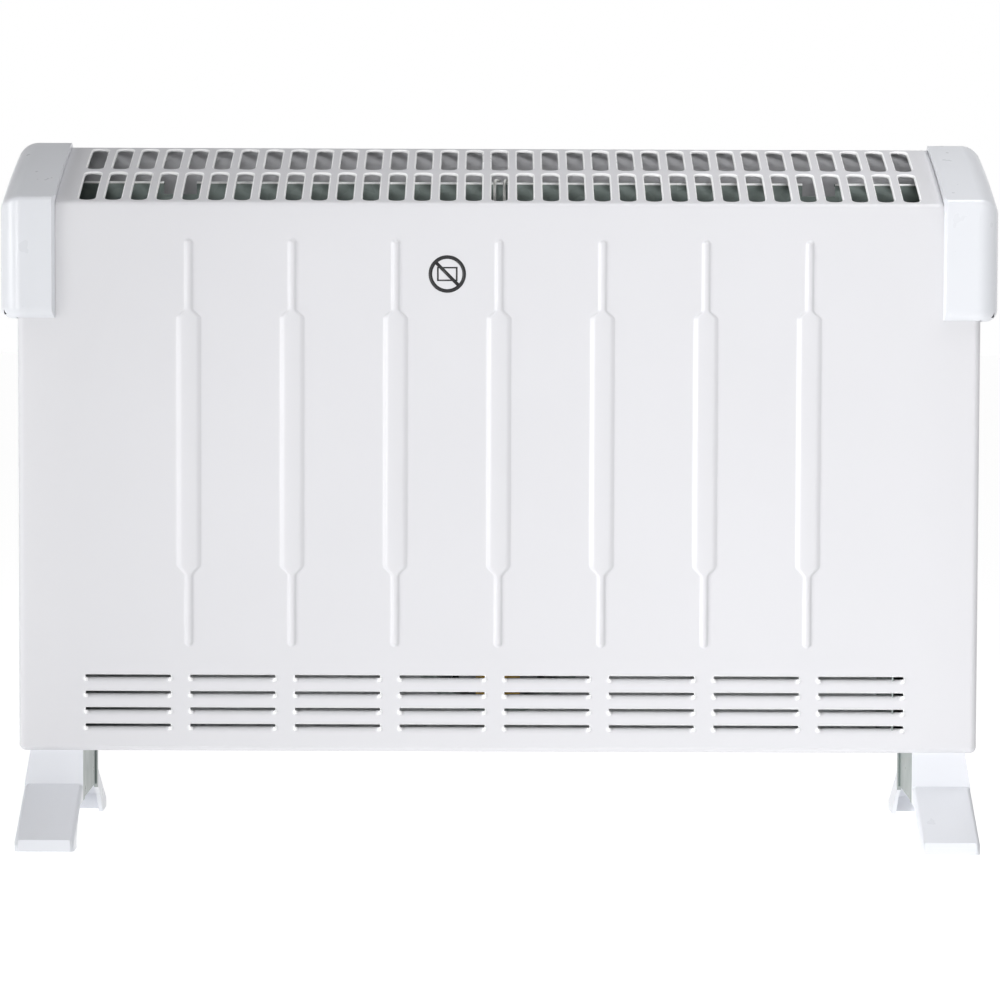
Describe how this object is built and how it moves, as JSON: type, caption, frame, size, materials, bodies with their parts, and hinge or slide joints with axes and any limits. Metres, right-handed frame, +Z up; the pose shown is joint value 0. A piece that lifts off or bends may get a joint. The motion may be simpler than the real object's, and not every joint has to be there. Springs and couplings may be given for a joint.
{
  "type": "fan convector heater",
  "caption": "Free-standing electric convector heater: ribbed white steel case, slotted sloping top, moulded end caps with grips, arched feet, side controls and a rear fan.",
  "frame": {"origin": "on the floor, under the middle of the heater", "axes": "+X along the heater to the right-hand end seen from the front, +Y towards the back, +Z up; the front faces -Y"},
  "size_m": [0.6, 0.2, 0.4228],
  "materials": {
    "case_white": "smooth powder coat",
    "moulding_white": "satin moulding",
    "panel_grey": "fine texture",
    "knob_white": "satin",
    "rocker_black": "satin",
    "switch_black": "matt",
    "lamp_amber": "clear",
    "galvanised": "galvanised",
    "screw_zinc": "zinc plated",
    "rod_steel": "bright",
    "mica": "mica board",
    "heating_wire": "oxidised",
    "ceramic": "unglazed ceramic",
    "bakelite": "matt",
    "wire_white": "insulation",
    "wire_black": "insulation",
    "fan_plastic": "matt",
    "core_steel": "laminated",
    "coil_tape": "taped copper winding",
    "bridge_alloy": "die cast",
    "bearing_bronze": "sintered",
    "gland_white": "moulded"
  },
  "bodies": {
    "heater": {"front_panel": "case_white", "rear_panel": "case_white", "rear_panel_tabs": "galvanised", "bottom_plate": "galvanised", "end_cap_right": "moulding_white", "end_cap_left": "moulding_white", "foot_right": "moulding_white", "foot_left": "moulding_white", "control_panel": "panel_grey", "thermostat_body": "bakelite", "switch_body_heat_low": "switch_black", "switch_body_heat_high": "switch_black", "switch_body_fan": "switch_black", "pilot_lamp_lens": "lamp_amber", "pilot_lamp_body": "switch_black", "heat_shield": "galvanised", "partition": "galvanised", "shield_arms": "galvanised", "element_bracket_left": "galvanised", "element_bracket_right": "galvanised", "element_rods": "rod_steel", "mica_cards": "mica", "heating_coil_low": "heating_wire", "heating_coil_high": "heating_wire", "element_terminals": "ceramic", "thermal_cutout": "bakelite", "cutout_leads": "wire_white", "motor_stator": "core_steel", "motor_coil": "coil_tape", "motor_bridge_front": "bridge_alloy", "motor_bridge_rear": "bridge_alloy", "motor_bearings": "bearing_bronze", "fan_shroud": "galvanised", "motor_strap": "galvanised", "cable_gland": "gland_white", "terminal_block": "gland_white", "wire_heat_low": "wire_white", "wire_heat_high": "wire_black", "foot_screws": "screw_zinc", "rear_panel_screws": "screw_zinc", "end_cap_screws": "screw_zinc", "motor_screws": "screw_zinc"},
    "fan_rotor": {"fan_impeller": "fan_plastic", "motor_shaft": "rod_steel", "motor_rotor": "core_steel"},
    "dial": {"thermostat_knob": "knob_white", "thermostat_spindle": "rod_steel"},
    "rocker_low": {"rocker_heat_low": "rocker_black"},
    "rocker_high": {"rocker_heat_high": "rocker_black"},
    "rocker_blower": {"rocker_fan": "rocker_black"}
  },
  "joints": [
    {"name": "fan_spin", "type": "hinge", "parent": "heater", "child": "fan_rotor", "pos_m": [0, 0.035, 0.128], "axis": [0, 1, 0], "continuous": true},
    {"name": "thermostat_turn", "type": "hinge", "parent": "heater", "child": "dial", "pos_m": [0.275, 0, 0.24], "axis": [1, 0, 0], "range_deg": [0, 270]},
    {"name": "rocker_low_tilt", "type": "hinge", "parent": "heater", "child": "rocker_low", "pos_m": [0.266, -0.019, 0.168], "axis": [0, 1, 0], "range_deg": [0, 18]},
    {"name": "rocker_high_tilt", "type": "hinge", "parent": "heater", "child": "rocker_high", "pos_m": [0.266, 0, 0.168], "axis": [0, 1, 0], "range_deg": [0, 18]},
    {"name": "rocker_fan_tilt", "type": "hinge", "parent": "heater", "child": "rocker_blower", "pos_m": [0.266, 0.019, 0.168], "axis": [0, 1, 0], "range_deg": [0, 18]}
  ]
}
